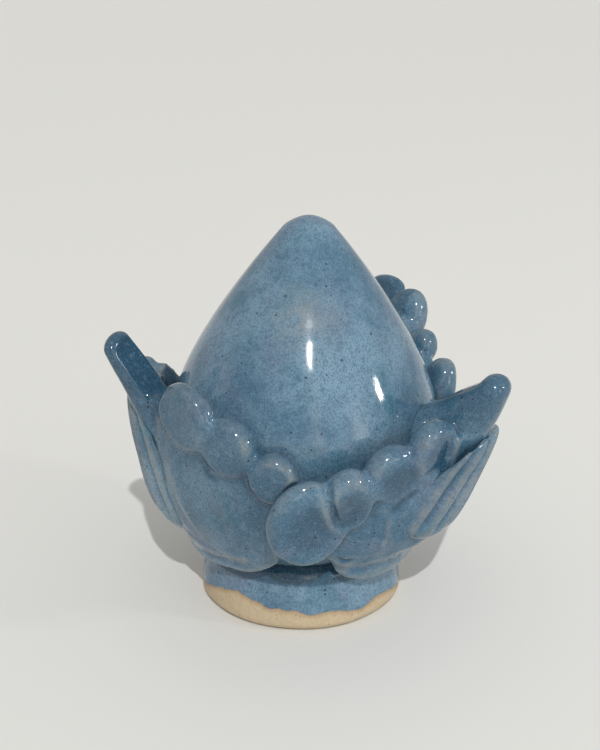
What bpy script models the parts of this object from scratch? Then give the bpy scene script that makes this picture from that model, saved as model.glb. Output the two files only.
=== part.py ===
"""Glazed ceramic artichoke: a turned bud on a foot, held by three leaves with thumbed lobes.

Each leaf is a clay pad luted to the bud, and carries a fluted tongue on its outside, below its
curled tip. Metres and degrees, +Z up. The origin is the centre of the foot's resting face.
Azimuths are counted about +Z from +X towards +Y.
"""

import math
from collections import namedtuple

import bmesh
import bpy
from mathutils import Matrix, Vector

# Foot: a low turned drum with a rounded, unglazed lower edge and a rounded shoulder.
FOOT_RADIUS = 0.0360
FOOT_TOP_RADIUS = 0.0342
FOOT_HEIGHT = 0.0230
FOOT_EDGE_ROUND = 0.0028
FOOT_SHOULDER = 0.0045

# Bud: turned, bowl shaped up to its widest ring and a cone with a rounded point above it.
# Its two heights are counted from the foot's top.
BUD_SEAT_RADIUS = 0.0310
BUD_RADIUS = 0.0455
BUD_WIDEST_RISE = 0.0490
BUD_RISE = 0.1140
BUD_BOWL_FULLNESS = 0.65
BUD_CONE_FULLNESS = 1.375
BUD_POINT_ROUND = 0.0040
BUD_POINT_TRIM = 0.0065
BUD_LEAN = 0.022

BUD_WIDEST_HEIGHT = FOOT_HEIGHT + BUD_WIDEST_RISE
BUD_TOP_HEIGHT = FOOT_HEIGHT + BUD_RISE

# The slip joint left between one piece and the next, and how much farther a bent pad stands off a
# turned surface so that its flat facets stay clear of that too.
SEAM = 0.0004
FACET_ROOM = 0.0003

# Leaf walls. The hem stands off the foot and its corners are rounded. The keel is the leaf's middle
# line, which stands off the bud; the standoff fades out over the half angle.
LEAF_THICKNESS = 0.0058
LEAF_CORNER_ROUND = 0.0065
RIM_RAISE = 0.0025
LEAF_HEM_STANDOFF = 0.0020
LEAF_EDGE_THINNING = 0.55
LEAF_HEM_THINNING = 0.35
LEAF_HEM_BAND = 0.20
KEEL_HALF_ANGLE = 48.0
KEEL_BELLY_BAND = 0.35
WAIST_BAND = 0.60

# Curled tips: a row of pressed balls.
TIP_BALLS = 11
TIP_ROOT_DROP = 0.0120
TIP_ARCH = 0.0020

# Fluted tongues. The foot of a tongue is rounded over a share of its length.
TONGUE_THICKNESS = 0.0042
TONGUE_FLUTES = 5
TONGUE_FLUTE_DEPTH = 0.0010
TONGUE_FOOT_BAND = 0.25
TONGUE_FOOT_THINNING = 0.65
TONGUE_FOOT_SPREAD = 0.80
TONGUE_SPREAD_BAND = 0.70
TONGUE_EDGE_THINNING = 0.50
TONGUE_CORNER_DROP = 0.10

# How finely the clay is pressed together, and how many triangles are kept.
LEAF_GRAIN = 0.0018
LEAF_TRIANGLES = 1500
TONGUE_GRAIN = 0.0012
TONGUE_TRIANGLES = 600
TURNED_SIDES = 48

GLAZE_BLUE = (0.12, 0.22, 0.32, 1.0)
GLAZE_ROUGHNESS = 0.12
BARE_CLAY = (0.52, 0.42, 0.29, 1.0)
CLAY_ROUGHNESS = 0.85

# A lobe's offset is its angle from the leaf's keel, and its rise is counted from the foot's top. Its
# pitch sinks its lower edge into the wall and its yaw its clockwise edge. A tip's reach is counted
# from the bud's widest ring, it tapers from its root to its end and its roll turns it about its
# length. A tongue's slant is how far its top turns aside from its foot.
Lobe = namedtuple(
    "Lobe", "offset rise standoff half_width half_height half_depth roll pitch yaw", defaults=(7.0, 0.0)
)
Tip = namedtuple("Tip", "offset reach rise root_width end_width root_depth end_depth roll")
Tongue = namedtuple("Tongue", "offset slant bottom top half_width lift")
Leaf = namedtuple("Leaf", "side azimuth spread waist hem belly flare top tip tongue lobes")

# A leaf spreads by two angles from its keel, clockwise and then counter-clockwise seen from above,
# and narrows to a share of them at its hem, which hangs below the foot's top. Belly and flare are
# the keel's standoff low and high.
LEAVES = [
    Leaf(
        side="right", azimuth=330.0, spread=(66.0, 54.0), waist=(0.68, 0.90), hem=0.0040,
        belly=0.0085, flare=0.0060, top=0.0510,
        tip=Tip(-1.0, 0.0266, 0.0668, 0.0120, 0.0062, 0.0134, 0.0050, 0.0),
        tongue=Tongue(-9.0, 12.0, 0.0125, 0.0500, 0.0172, 0.0034),
        lobes=[
            Lobe(-58.5, 0.0262, 0.0050, 0.0138, 0.0158, 0.0044, 0.0, -2.0, 9.0),
            Lobe(-44.5, 0.0338, 0.0035, 0.0090, 0.0125, 0.0056, 6.0),
            Lobe(-29.0, 0.0412, 0.0005, 0.0096, 0.0106, 0.0054, 15.0),
            Lobe(-16.0, 0.0480, -0.0015, 0.0096, 0.0104, 0.0054, 10.0),
            Lobe(30.0, 0.0400, 0.0010, 0.0090, 0.0100, 0.0056, -10.0),
            Lobe(46.0, 0.0325, 0.0020, 0.0095, 0.0105, 0.0056, -15.0),
        ],
    ),
    Leaf(
        side="left", azimuth=196.0, spread=(58.0, 70.0), waist=(0.90, 0.92), hem=0.0010,
        belly=0.0028, flare=0.0016, top=0.0550,
        tip=Tip(3.0, 0.0184, 0.0758, 0.0084, 0.0056, 0.0078, 0.0034, -40.0),
        tongue=Tongue(3.0, -10.0, 0.0065, 0.0585, 0.0142, 0.0034),
        lobes=[
            Lobe(62.5, 0.0405, 0.0010, 0.0086, 0.0092, 0.0048, -20.0),
            Lobe(45.5, 0.0490, 0.0010, 0.0098, 0.0100, 0.0054, -15.0),
            Lobe(28.0, 0.0565, 0.0020, 0.0122, 0.0118, 0.0050, -12.0),
            Lobe(-23.0, 0.0575, 0.0050, 0.0040, 0.0046, 0.0042, 10.0),
            Lobe(-35.0, 0.0490, 0.0060, 0.0050, 0.0060, 0.0046, 12.0),
            Lobe(-49.0, 0.0385, 0.0050, 0.0066, 0.0076, 0.0050, 12.0),
        ],
    ),
    Leaf(
        side="back", azimuth=66.0, spread=(60.0, 68.0), waist=(0.90, 0.90), hem=0.0030,
        belly=0.0060, flare=0.0040, top=0.0550,
        tip=Tip(-4.0, 0.0265, 0.0705, 0.0150, 0.0080, 0.0080, 0.0046, 0.0),
        tongue=Tongue(0.0, 0.0, 0.0110, 0.0530, 0.0175, 0.0034),
        lobes=[
            Lobe(-50.0, 0.0465, 0.0010, 0.0082, 0.0130, 0.0054, 12.0),
            Lobe(-31.0, 0.0575, 0.0010, 0.0058, 0.0070, 0.0050, 10.0),
            Lobe(-15.0, 0.0635, 0.0035, 0.0085, 0.0110, 0.0054, 10.0),
            Lobe(28.0, 0.0590, 0.0030, 0.0100, 0.0120, 0.0056, -10.0),
            Lobe(44.0, 0.0510, 0.0020, 0.0095, 0.0110, 0.0056, -12.0),
            Lobe(60.0, 0.0390, 0.0020, 0.0095, 0.0110, 0.0056, -15.0),
        ],
    ),
]


def polar(azimuth, radius, height):
    """A point at an azimuth, a distance from the vertical axis and a height."""
    angle = math.radians(azimuth)
    return Vector((radius * math.cos(angle), radius * math.sin(angle), height))


def smooth_step(value):
    """Eases from zero to one, and stays there."""
    value = min(max(value, 0.0), 1.0)
    return value * value * (3 - 2 * value)


def foot_radius(height):
    """The foot's outer radius above its rounded edge."""
    share = (height - FOOT_EDGE_ROUND) / (FOOT_HEIGHT - FOOT_EDGE_ROUND)
    return FOOT_RADIUS + (FOOT_TOP_RADIUS - FOOT_RADIUS) * smooth_step(share)


def bud_radius(height):
    """The bud's outer radius."""
    if height <= BUD_WIDEST_HEIGHT:
        drop = min(1.0, (BUD_WIDEST_HEIGHT - height) / BUD_WIDEST_RISE)
        bowl = (1.0 - drop**2) ** BUD_BOWL_FULLNESS
        return BUD_SEAT_RADIUS + (BUD_RADIUS - BUD_SEAT_RADIUS) * bowl
    if height >= BUD_TOP_HEIGHT:
        return 0.0
    sharp_cone = BUD_TOP_HEIGHT + BUD_POINT_TRIM - BUD_WIDEST_HEIGHT
    cone = BUD_RADIUS * (1.0 - ((height - BUD_WIDEST_HEIGHT) / sharp_cone) ** BUD_CONE_FULLNESS)
    rounding = max(0.0, 1.0 - (BUD_TOP_HEIGHT - height) / BUD_POINT_ROUND)
    return cone * math.sqrt(1.0 - rounding**2)


def bud_axis(height):
    """Where the leaning bud's own axis stands at a height."""
    return Vector((BUD_LEAN * (height - FOOT_HEIGHT), 0.0, 0.0))


def core_radius(height):
    """The radius that a leaf lies on: the foot's at its hem and the bud's bowl above that."""
    return max(bud_radius(min(height, BUD_WIDEST_HEIGHT)), foot_radius(height))


def add_object(name, mesh, colour, roughness):
    """One named piece with its own glaze or clay material."""
    material = bpy.data.materials.new(name)
    material.use_nodes = True
    shader = material.node_tree.nodes["Principled BSDF"]
    shader.inputs["Base Color"].default_value = colour
    shader.inputs["Roughness"].default_value = roughness
    mesh.materials.clear()
    mesh.materials.append(material)
    mesh.shade_smooth()
    piece = bpy.data.objects.new(name, mesh)
    bpy.context.scene.collection.objects.link(piece)


def turned(name, profile):
    """A solid of revolution from (radius, height) points that start and end on the axis."""
    shape = bmesh.new()
    points = [shape.verts.new((radius, 0.0, height)) for radius, height in profile]
    edges = [shape.edges.new(pair) for pair in zip(points, points[1:])]
    bmesh.ops.spin(
        shape,
        geom=points + edges,
        axis=(0, 0, 1),
        cent=(0, 0, 0),
        angle=math.tau,
        steps=TURNED_SIDES,
        use_merge=True,
    )
    bmesh.ops.remove_doubles(shape, verts=shape.verts, dist=1e-6)
    bmesh.ops.recalc_face_normals(shape, faces=shape.faces)
    mesh = bpy.data.meshes.new(name)
    shape.to_mesh(mesh)
    shape.free()
    return mesh


def make_foot():
    rows = 4
    profile = [(0.0, 0.0)]
    for row in range(rows + 1):
        angle = math.pi / 2 * row / rows
        radius = FOOT_RADIUS - FOOT_EDGE_ROUND * (1 - math.sin(angle))
        profile.append((radius, FOOT_EDGE_ROUND * (1 - math.cos(angle))))
    top = FOOT_HEIGHT - SEAM
    rows = 8
    for row in range(1, rows + 1):
        height = FOOT_EDGE_ROUND + (top - FOOT_EDGE_ROUND) * math.sin(math.pi / 2 * row / rows)
        shoulder = max(0.0, 1 - (top - height) / FOOT_SHOULDER)
        inset = FOOT_SHOULDER * (1 - math.sqrt(1 - shoulder**2))
        profile.append((foot_radius(height) - inset, height))
    profile.append((0.0, top))
    add_object("foot", turned("foot", profile), BARE_CLAY, CLAY_ROUGHNESS)


def make_bud():
    rows_below, rows_above = 8, 13
    profile = [(0.0, FOOT_HEIGHT)]
    for row in range(rows_below + 1):
        height = FOOT_HEIGHT + BUD_WIDEST_RISE * (row / rows_below) ** 1.3
        profile.append((bud_radius(height), height))
    for row in range(1, rows_above + 1):
        share = math.sin(math.pi / 2 * row / rows_above)
        height = BUD_WIDEST_HEIGHT + (BUD_TOP_HEIGHT - BUD_WIDEST_HEIGHT) * share
        profile.append((bud_radius(height), height))
    mesh = turned("bud", profile)
    for vertex in mesh.vertices:
        vertex.co += bud_axis(vertex.co.z)
    add_object("bud", mesh, GLAZE_BLUE, GLAZE_ROUGHNESS)


def wall_radius(leaf, offset, height):
    """Middle of a leaf's wall: on the bud at its sides and standing off along its keel."""
    hem = FOOT_HEIGHT - leaf.hem
    rise = max(0.0, (height - hem) / (FOOT_HEIGHT + leaf.top - hem))
    standoff = leaf.belly * smooth_step(rise / KEEL_BELLY_BAND) + leaf.flare * rise**2
    fade = math.cos(math.pi / 2 * min(1.0, abs(offset) / KEEL_HALF_ANGLE)) ** 2
    hem_standoff = LEAF_HEM_STANDOFF * (1 - smooth_step(rise / LEAF_HEM_BAND))
    bed = core_radius(height) + SEAM + FACET_ROOM
    return bed + LEAF_THICKNESS / 2 + standoff * fade + hem_standoff


def wall_point(leaf, offset, height, standoff=0.0):
    """A point on the middle of a leaf's wall, or off it by a distance outwards."""
    spot = polar(leaf.azimuth + offset, wall_radius(leaf, offset, height) + standoff, height)
    return spot + bud_axis(height)


def rim_height(leaf, offset):
    """Height of a wall's upper edge, which runs a little above the middles of the lobes."""
    stops = sorted([(lobe.offset, lobe.rise) for lobe in leaf.lobes] + [(0.0, leaf.top)])
    base = FOOT_HEIGHT + RIM_RAISE
    if offset <= stops[0][0]:
        return base + stops[0][1]
    for (left, low), (right, high) in zip(stops, stops[1:]):
        if offset <= right:
            return base + low + (high - low) * (offset - left) / (right - left)
    return base + stops[-1][1]


def slab(across, up):
    """A closed flat slab from -1 to 1 in x and y, its two faces at z of -1 and 1."""
    pad = bmesh.new()
    bmesh.ops.create_grid(pad, x_segments=across, y_segments=up, size=1.0)
    for vertex in pad.verts:
        vertex.co.z = -1.0
    raised = bmesh.ops.extrude_face_region(pad, geom=pad.faces[:], use_keep_orig=True)
    for item in raised["geom"]:
        if isinstance(item, bmesh.types.BMVert):
            item.co.z = 1.0
    return pad


def add_pad(shape, pad):
    """Adds a bent pad to the clay in hand, its faces turned outwards."""
    bmesh.ops.recalc_face_normals(pad, faces=pad.faces)
    mesh = bpy.data.meshes.new("pad")
    pad.to_mesh(mesh)
    pad.free()
    shape.from_mesh(mesh)
    bpy.data.meshes.remove(mesh)


def add_wall(shape, leaf):
    """A leaf's wall: a pad bent round the bud, from its hem up to its lobes."""
    pad = slab(26, 14)
    hem = FOOT_HEIGHT - leaf.hem
    for vertex in pad.verts:
        side, rise, through = vertex.co.x, (vertex.co.y + 1) / 2, vertex.co.z
        end = 1 if side > 0 else 0
        widening = leaf.waist[end] + (1 - leaf.waist[end]) * smooth_step(rise / WAIST_BAND)
        offset = side * leaf.spread[end] * widening
        low = hem + LEAF_CORNER_ROUND * abs(side) ** 6
        height = low + (rim_height(leaf, offset) - low) * rise
        thickness = LEAF_THICKNESS * (
            1.0
            - LEAF_EDGE_THINNING * abs(side) ** 6
            - LEAF_HEM_THINNING * (1 - smooth_step(rise / LEAF_HEM_BAND))
        )
        vertex.co = wall_point(leaf, offset, height, through * thickness / 2)
    add_pad(shape, pad)


def add_ball(shape, centre, axes, sizes):
    """A clay ball pressed to three half sizes along three directions."""
    turn = Matrix(axes).transposed().to_4x4()
    stretch = Matrix.Diagonal((*sizes, 1.0))
    place = Matrix.Translation(centre) @ turn @ stretch
    bmesh.ops.create_icosphere(shape, subdivisions=3, radius=1.0, matrix=place)


def add_lobes(shape, leaf):
    """Thumbed lobes: flattened balls that lie in the plane of the wall."""
    step = 0.001
    for lobe in leaf.lobes:
        height = FOOT_HEIGHT + lobe.rise
        along = wall_point(leaf, lobe.offset, height + step)
        along -= wall_point(leaf, lobe.offset, height - step)
        along.normalize()
        across = polar(leaf.azimuth + lobe.offset + 90, 1.0, 0.0)
        across = (across - across.dot(along) * along).normalized()
        outward = across.cross(along)
        turn = Matrix.Rotation(math.radians(lobe.yaw), 3, along)
        turn = turn @ Matrix.Rotation(math.radians(lobe.pitch), 3, across)
        turn = turn @ Matrix.Rotation(math.radians(lobe.roll), 3, outward)
        centre = wall_point(leaf, lobe.offset, height, lobe.standoff)
        sizes = (lobe.half_width, lobe.half_height, lobe.half_depth)
        add_ball(shape, centre, (turn @ across, turn @ along, turn @ outward), sizes)


def add_tip(shape, leaf):
    """The curled tip: a row of pressed balls that tapers outwards, its back flush with the wall."""
    tip = leaf.tip
    start = wall_point(leaf, 0.0, FOOT_HEIGHT + leaf.top - TIP_ROOT_DROP)
    end = polar(leaf.azimuth + tip.offset, BUD_RADIUS + tip.reach, FOOT_HEIGHT + tip.rise)
    along = (end - start).normalized()
    across = along.cross(Vector((0, 0, 1))).normalized()
    across = Matrix.Rotation(math.radians(tip.roll), 3, along) @ across
    inward = across.cross(along)
    for ball in range(TIP_BALLS):
        share = ball / (TIP_BALLS - 1)
        width = tip.root_width + (tip.end_width - tip.root_width) * share
        depth = tip.root_depth + (tip.end_depth - tip.root_depth) * share
        rise = (depth - LEAF_THICKNESS / 2) * (1 - share) + TIP_ARCH * math.sin(math.pi * share)
        centre = start.lerp(end, share) + inward * rise
        add_ball(shape, centre, (across, along, inward), (width, depth, depth))


def evaluated(piece, name):
    """The mesh that a piece's modifiers give."""
    graph = bpy.context.evaluated_depsgraph_get()
    mesh = bpy.data.meshes.new_from_object(piece.evaluated_get(graph))
    mesh.name = name
    return mesh


def press_clear(mesh):
    """Presses whatever lies inside the bud or the foot out to the slip joint around them."""
    for vertex in mesh.vertices:
        height = vertex.co.z
        axis = bud_axis(height)
        least = bud_radius(height)
        if height < FOOT_HEIGHT + SEAM:
            axis.x = 0.0
            least = foot_radius(height)
        least += SEAM + FACET_ROOM
        flat = Vector((vertex.co.x - axis.x, vertex.co.y - axis.y, 0.0))
        if flat.length < least:
            flat = flat.normalized() * least
            vertex.co.x, vertex.co.y = flat.x + axis.x, flat.y + axis.y


def pressed(name, shape, grain, triangles):
    """Overlapping clay pressed into one skin, thinned to few faces and clear of the bud."""
    mesh = bpy.data.meshes.new(name)
    shape.to_mesh(mesh)
    shape.free()
    piece = bpy.data.objects.new(name, mesh)
    bpy.context.scene.collection.objects.link(piece)
    remesh = piece.modifiers.new("press", "REMESH")
    remesh.mode = "VOXEL"
    remesh.voxel_size = grain
    rub = piece.modifiers.new("rub", "SMOOTH")
    rub.iterations = 3
    piece.data = evaluated(piece, name)
    piece.modifiers.clear()
    press_clear(piece.data)
    thin = piece.modifiers.new("thin", "DECIMATE")
    thin.ratio = min(1.0, triangles / (2 * len(piece.data.polygons)))
    thin.use_collapse_triangulate = True
    skin = evaluated(piece, name)
    bpy.data.objects.remove(piece)
    press_clear(skin)
    return skin


def swollen(mesh):
    """A guide with a piece's skin, grown along its normals by the slip joint."""
    guide = bpy.data.objects.new("guide", mesh.copy())
    bpy.context.scene.collection.objects.link(guide)
    guide.hide_render = True
    guide.display_type = "WIRE"
    normals = [item.vector.copy() for item in mesh.vertex_normals]
    for vertex, normal in zip(guide.data.vertices, normals):
        vertex.co += normal * SEAM
    return guide


def keep_largest_body(mesh):
    """Deletes the crumbs that a cut leaves beside the piece itself."""
    shape = bmesh.new()
    shape.from_mesh(mesh)
    loose = set(shape.verts)
    bodies = []
    while loose:
        front = [loose.pop()]
        body = []
        while front:
            vertex = front.pop()
            body.append(vertex)
            for edge in vertex.link_edges:
                other = edge.other_vert(vertex)
                if other in loose:
                    loose.remove(other)
                    front.append(other)
        bodies.append(body)
    bodies.sort(key=len)
    for body in bodies[:-1]:
        bmesh.ops.delete(shape, geom=body, context="VERTS")
    shape.to_mesh(mesh)
    shape.free()


def cut_clear(name, mesh, neighbours):
    """A piece less its neighbours and the slip joint around them."""
    piece = bpy.data.objects.new(name, mesh)
    bpy.context.scene.collection.objects.link(piece)
    guides = [swollen(neighbour) for neighbour in neighbours]
    for guide in guides:
        cut = piece.modifiers.new("cut", "BOOLEAN")
        cut.operation = "DIFFERENCE"
        cut.solver = "EXACT"
        cut.use_self = True
        cut.object = guide
    result = evaluated(piece, name)
    for item in guides + [piece]:
        bpy.data.objects.remove(item)
    keep_largest_body(result)
    return result


def leaf_skin(leaf):
    shape = bmesh.new()
    add_wall(shape, leaf)
    add_lobes(shape, leaf)
    add_tip(shape, leaf)
    return pressed(f"leaf_{leaf.side}", shape, LEAF_GRAIN, LEAF_TRIANGLES)


def tongue_skin(leaf):
    """The fluted tongue: a pad laid on the keel, ridged along its length and free at its top."""
    tongue = leaf.tongue
    length = tongue.top - tongue.bottom
    pad = slab(30, 14)
    for vertex in pad.verts:
        side, rise, through = vertex.co.x, (vertex.co.y + 1) / 2, vertex.co.z
        height = FOOT_HEIGHT + tongue.bottom + length * rise * (1 - TONGUE_CORNER_DROP * side**2)
        foot = math.sqrt(1 - max(0.0, 1 - rise / TONGUE_FOOT_BAND) ** 2)
        spread = TONGUE_FOOT_SPREAD
        spread += (1 - TONGUE_FOOT_SPREAD) * smooth_step(rise / TONGUE_SPREAD_BAND)
        middle = tongue.offset + tongue.slant * rise
        outside = wall_radius(leaf, middle, height) + LEAF_THICKNESS / 2
        offset = middle + math.degrees(side * tongue.half_width * spread * foot / outside)
        thickness = TONGUE_THICKNESS * (1 - TONGUE_EDGE_THINNING * side**4)
        thickness *= 1 - TONGUE_FOOT_THINNING * (1 - foot)
        standoff = LEAF_THICKNESS / 2 + SEAM + TONGUE_THICKNESS / 2
        standoff += tongue.lift * rise**4 + through * thickness / 2
        if through > 0:
            standoff += TONGUE_FLUTE_DEPTH * math.cos(math.pi * TONGUE_FLUTES * side) * foot
        vertex.co = wall_point(leaf, offset, height, standoff)
    shape = bmesh.new()
    add_pad(shape, pad)
    return pressed(f"tongue_{leaf.side}", shape, TONGUE_GRAIN, TONGUE_TRIANGLES)


def make_leaves():
    """Each leaf is cut clear of those laid before it, and each tongue of all the leaves."""
    laid = []
    for leaf in LEAVES:
        skin = leaf_skin(leaf)
        if laid:
            skin = cut_clear(f"leaf_{leaf.side}", skin, laid)
        laid.append(skin)
    for leaf in LEAVES:
        tongue = cut_clear(f"tongue_{leaf.side}", tongue_skin(leaf), laid)
        add_object(f"tongue_{leaf.side}", tongue, GLAZE_BLUE, GLAZE_ROUGHNESS)
    for leaf, skin in zip(LEAVES, laid):
        add_object(f"leaf_{leaf.side}", skin, GLAZE_BLUE, GLAZE_ROUGHNESS)


def main():
    for old in list(bpy.data.objects):
        bpy.data.objects.remove(old)
    make_foot()
    make_bud()
    make_leaves()


main()
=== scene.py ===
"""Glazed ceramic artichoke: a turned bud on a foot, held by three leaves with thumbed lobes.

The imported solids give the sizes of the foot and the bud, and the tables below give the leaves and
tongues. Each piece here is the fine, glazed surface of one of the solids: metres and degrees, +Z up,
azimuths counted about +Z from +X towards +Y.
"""

import math
from collections import namedtuple

import bmesh
import bpy
import numpy as np
from bpy.props import FloatProperty, FloatVectorProperty, IntProperty, PointerProperty
from mathutils import Matrix, Vector, noise


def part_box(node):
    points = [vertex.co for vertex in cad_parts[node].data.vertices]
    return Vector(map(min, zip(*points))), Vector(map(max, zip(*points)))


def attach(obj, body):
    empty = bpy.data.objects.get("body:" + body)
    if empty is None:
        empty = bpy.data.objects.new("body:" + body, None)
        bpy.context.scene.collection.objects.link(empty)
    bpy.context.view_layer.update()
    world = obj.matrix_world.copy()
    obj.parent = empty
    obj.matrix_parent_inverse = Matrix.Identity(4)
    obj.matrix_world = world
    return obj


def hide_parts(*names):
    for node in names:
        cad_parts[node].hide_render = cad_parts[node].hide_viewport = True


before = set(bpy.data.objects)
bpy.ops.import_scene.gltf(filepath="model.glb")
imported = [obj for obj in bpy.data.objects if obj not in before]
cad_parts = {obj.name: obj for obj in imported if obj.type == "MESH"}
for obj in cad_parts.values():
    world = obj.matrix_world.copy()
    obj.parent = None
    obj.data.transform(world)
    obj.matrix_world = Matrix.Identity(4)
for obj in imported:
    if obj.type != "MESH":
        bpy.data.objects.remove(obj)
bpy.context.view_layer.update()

bl_info = {
    "name": "Glazed Artichoke",
    "version": (1, 0, 0),
    "blender": (4, 5, 0),
    "location": "View3D > Sidebar > Artichoke",
    "description": "Models the glazed surfaces of a ceramic artichoke round its packed solids",
    "category": "Add Mesh",
}

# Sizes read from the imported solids.
FOOT_LOW, FOOT_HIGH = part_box("foot")
BUD_LOW, BUD_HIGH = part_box("bud")
SEAM = BUD_LOW[2] - FOOT_HIGH[2]
FOOT_RADIUS = (FOOT_HIGH[0] - FOOT_LOW[0]) / 2
FOOT_HEIGHT = BUD_LOW[2]
BUD_RADIUS = (BUD_HIGH[1] - BUD_LOW[1]) / 2
BUD_TOP_HEIGHT = BUD_HIGH[2]

# The foot's and the bud's turned profiles.
FOOT_TOP_RADIUS = 0.0342
FOOT_EDGE_ROUND = 0.0028
FOOT_SHOULDER = 0.0045
BUD_SEAT_RADIUS = 0.0310
BUD_WIDEST_RISE = 0.0490
BUD_BOWL_FULLNESS = 0.65
BUD_CONE_FULLNESS = 1.375
BUD_POINT_ROUND = 0.0040
BUD_POINT_TRIM = 0.0065
BUD_LEAN = 0.022
BUD_WIDEST_HEIGHT = FOOT_HEIGHT + BUD_WIDEST_RISE

# Height of the lower edge of the foot's glaze at some azimuths round it.
GLAZE_LINE = (
    (10, 0.0045), (60, 0.0080), (105, 0.0060), (150, 0.0085), (180, 0.0052), (196, 0.0048),
    (216, 0.0088), (231, 0.0113), (241, 0.0098), (253, 0.0080), (266, 0.0080), (276, 0.0062),
    (286, 0.0072), (306, 0.0050), (318, 0.0072), (332, 0.0060), (345, 0.0038),
)

# Leaves and tongues: a wall hangs below the foot's top and its keel stands off the bud.
LEAF_THICKNESS = 0.0058
LEAF_CORNER_ROUND = 0.0065
RIM_RAISE = 0.0025
LEAF_HEM_STANDOFF = 0.0020
LEAF_HEM_BAND = 0.20
KEEL_HALF_ANGLE = 48.0
KEEL_BELLY_BAND = 0.35
WAIST_BAND = 0.60
LOBE_FLATNESS = 0.7
TIP_BALLS = 17
TIP_ROOT_DROP = 0.0120
TIP_ARCH = 0.0020
TONGUE_THICKNESS = 0.0036
TONGUE_FOOT_SHARE = 0.30
TONGUE_FOOT_SPREAD = 0.86
TONGUE_CORNER_DROP = 0.16
TONGUE_SINK = 0.0005
LAP_GAP = 0.0006
HEM_THIN_BAND = 0.015

# How strongly a surface bends, against the spacing of its points, where glaze has fully pooled.
FULL_BEND = 0.07

# A lobe's offset is its angle from the leaf's keel, and its rise is counted from the foot's top.
# A lobe's dish is how deep a thumb pressed it, its pitch sinks its lower edge into the wall and its
# yaw its clockwise edge. A tip's reach is counted from the bud's widest ring, it tapers from its root
# to its end, and its roll turns its hollow face aside.
Lobe = namedtuple(
    "Lobe", "offset rise standoff half_width half_height half_depth roll dish pitch yaw", defaults=(7.0, 0.0)
)
Tip = namedtuple("Tip", "offset reach rise root_width end_width root_depth end_depth hollow roll")
Tongue = namedtuple("Tongue", "offset slant bottom top half_width lift")
Fold = namedtuple("Fold", "stops width height")
Leaf = namedtuple("Leaf", "side azimuth spread waist hem belly flare pooled top tip tongue lobes folds")

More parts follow.
